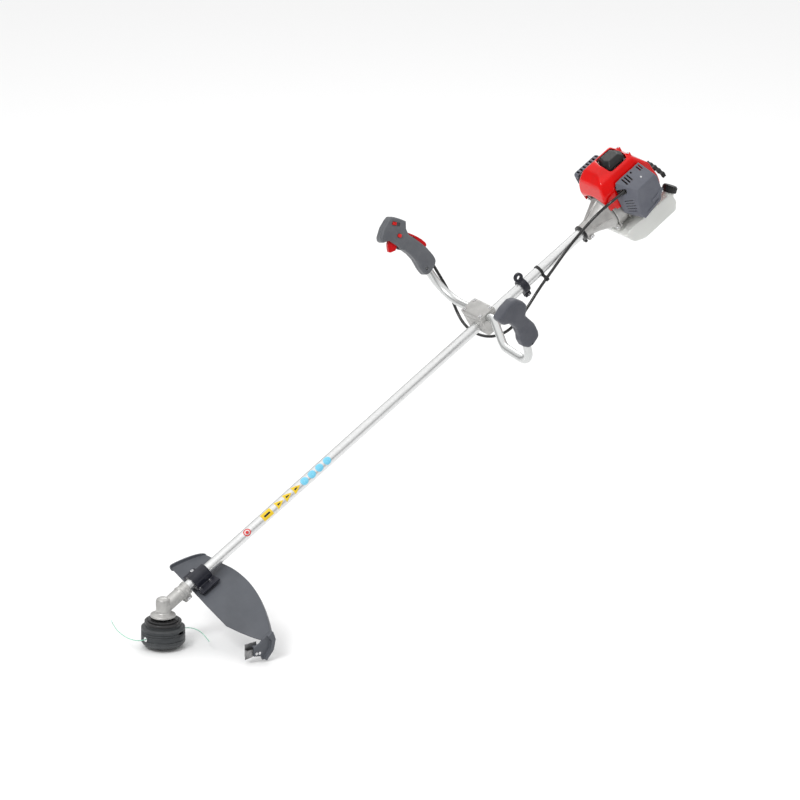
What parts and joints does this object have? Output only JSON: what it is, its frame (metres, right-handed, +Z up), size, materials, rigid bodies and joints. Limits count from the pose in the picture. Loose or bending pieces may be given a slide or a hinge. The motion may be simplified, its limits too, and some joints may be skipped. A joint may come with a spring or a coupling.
{
  "type": "petrol string trimmer",
  "caption": "Petrol string trimmer with a straight tube, bent bike handle, angled gear case with line head, debris guard and rear engine with tank.",
  "frame": {"origin": "centre of the harness eye, from which the machine hangs", "axes": "+X level from the line head towards the engine, +Y towards the operator's right hand, +Z up"},
  "size_m": [1.6783, 0.5471, 1.0756],
  "materials": {
    "satin_tube": "satin metallic paint",
    "cast_alloy": "cast, fine grain",
    "steel": "machined",
    "bearing_steel": "ground",
    "bush_rubber": "matt",
    "guard_plastic": "moulded, fine texture",
    "clamp_plastic": "moulded",
    "knife_steel": "dark ground edge",
    "grip_plastic": "moulded, satin",
    "left_grip_rubber": "soft, matt",
    "cable_black": "glossy sleeve",
    "shroud_red": "glossy moulded",
    "control_red": "satin moulded",
    "cover_grey": "moulded",
    "black_plastic": "moulded",
    "tank_plastic": "translucent",
    "muffler_steel": "heat tinted",
    "filter_foam": "open foam",
    "line_nylon": "pale green nylon",
    "head_plastic": "moulded",
    "iron": "machined",
    "plug_ceramic": "glazed"
  },
  "bodies": {
    "frame": {"shaft_tube": "satin_tube", "shaft_bushes": "bush_rubber", "ball_bearings": "bearing_steel", "gear_case": "cast_alloy", "guard_shield": "guard_plastic", "guard_clamp": "clamp_plastic", "guard_skirt": "guard_plastic", "line_cutter_blade": "knife_steel", "frame_screws": "bearing_steel", "handle_bracket": "cast_alloy", "bracket_cap": "cast_alloy", "handlebar": "satin_tube", "left_grip": "left_grip_rubber", "throttle_grip_inner": "grip_plastic", "throttle_grip_outer": "grip_plastic", "harness_clamp": "clamp_plastic", "cable_clip": "black_plastic", "throttle_cable": "cable_black", "tube_collar": "black_plastic", "clutch_housing": "cast_alloy", "crankcase": "cast_alloy", "cylinder": "cast_alloy", "piston": "cast_alloy", "connecting_rod": "steel", "spark_plug": "plug_ceramic", "plug_cap": "black_plastic", "engine_shroud": "shroud_red", "muffler": "muffler_steel", "muffler_guard": "cover_grey", "carburettor": "cast_alloy", "filter_element": "filter_foam", "starter_housing": "shroud_red", "fuel_tank": "tank_plastic", "ignition_coil": "black_plastic", "engine_screws": "bearing_steel"},
    "drive": {"drive_shaft": "steel", "bevel_pinion": "steel", "clutch_drum": "steel"},
    "head": {"output_shaft": "steel", "bevel_gear": "steel", "head_flange": "black_plastic", "head_housing": "head_plastic", "head_cover": "head_plastic", "line_eyelets": "bearing_steel", "trimmer_line_front": "line_nylon", "trimmer_line_rear": "line_nylon"},
    "bump": {"line_spool": "black_plastic", "bump_knob": "black_plastic"},
    "crank": {"crankshaft": "steel", "flywheel": "cast_alloy", "clutch_shoes": "iron"},
    "trigger": {"throttle_trigger": "control_red"},
    "lockout": {"lockout_lever": "control_red"},
    "stop": {"stop_switch": "control_red"},
    "lock_button": {"throttle_lock_button": "control_red"},
    "valve": {"throttle_valve": "steel"},
    "pull_handle": {"starter_handle": "black_plastic"},
    "pulley": {"starter_pulley": "black_plastic"},
    "cap": {"fuel_cap": "black_plastic"},
    "filter_lid": {"filter_cover": "cover_grey"}
  },
  "joints": [
    {"name": "head_spin", "type": "hinge", "parent": "frame", "child": "head", "pos_m": [-1.11653, 0, -0.73811], "axis": [0, 0, 1], "continuous": true},
    {"name": "drive_spin", "type": "hinge", "parent": "frame", "child": "drive", "pos_m": [-0.42371, 0, -0.27812], "axis": [0.866, 0, 0.5], "continuous": true},
    {"name": "bump_press", "type": "slide", "parent": "head", "child": "bump", "axis": [0, 0, 1], "range_m": [0, 0.005], "stiffness_N_per_m": 2000, "springref_m": -0.004},
    {"name": "crank_spin", "type": "hinge", "parent": "frame", "child": "crank", "pos_m": [0.3306, 0, 0.15738], "axis": [0.866, 0, 0.5], "continuous": true},
    {"name": "trigger_pull", "type": "hinge", "parent": "frame", "child": "trigger", "pos_m": [-0.24154, 0.2279, 0.10036], "axis": [-0.1702, -0.9403, 0.2948], "range_deg": [0, 18], "stiffness_Nm_per_rad": 0.3, "springref_deg": -28.65},
    {"name": "throttle_turn", "type": "hinge", "parent": "frame", "child": "valve", "pos_m": [0.33851, -0.058, 0.21969], "axis": [0.5, 0, -0.866], "range_deg": [0, 72]},
    {"name": "lockout_press", "type": "hinge", "parent": "frame", "child": "lockout", "pos_m": [-0.20467, 0.2194, 0.0945], "axis": [0.1702, 0.9403, -0.2948], "range_deg": [0, 8], "stiffness_Nm_per_rad": 0.3, "springref_deg": -22.92},
    {"name": "stop_slide", "type": "slide", "parent": "frame", "child": "stop", "axis": [0.9168, -0.2607, -0.3024], "range_m": [0, 0.011]},
    {"name": "lock_button_press", "type": "slide", "parent": "frame", "child": "lock_button", "axis": [0.1702, 0.9403, -0.2948], "range_m": [0, 0.0025], "stiffness_N_per_m": 400, "springref_m": -0.002},
    {"name": "starter_pull", "type": "slide", "parent": "frame", "child": "pull_handle", "axis": [0.866, 0, 0.5], "range_m": [0, 0.7], "stiffness_N_per_m": 20, "springref_m": -0.1},
    {"name": "pulley_turn", "type": "hinge", "parent": "frame", "child": "pulley", "pos_m": [0.40248, 0, 0.19889], "axis": [0.866, 0, 0.5], "range_deg": [0, 1672.1]},
    {"name": "fuel_cap_lift", "type": "slide", "parent": "frame", "child": "cap", "axis": [0.342, 0, 0.9397], "range_m": [0, 0.018]},
    {"name": "filter_cover_remove", "type": "slide", "parent": "frame", "child": "filter_lid", "axis": [0, -1, 0], "range_m": [0, 0.06]}
  ],
  "couplings": [
    {"joint": "drive_spin", "follows": "head_spin", "ratio": 1.75},
    {"joint": "throttle_turn", "follows": "trigger_pull", "ratio": 4},
    {"joint": "pulley_turn", "follows": "starter_pull", "rad_per_m": 41.667}
  ]
}
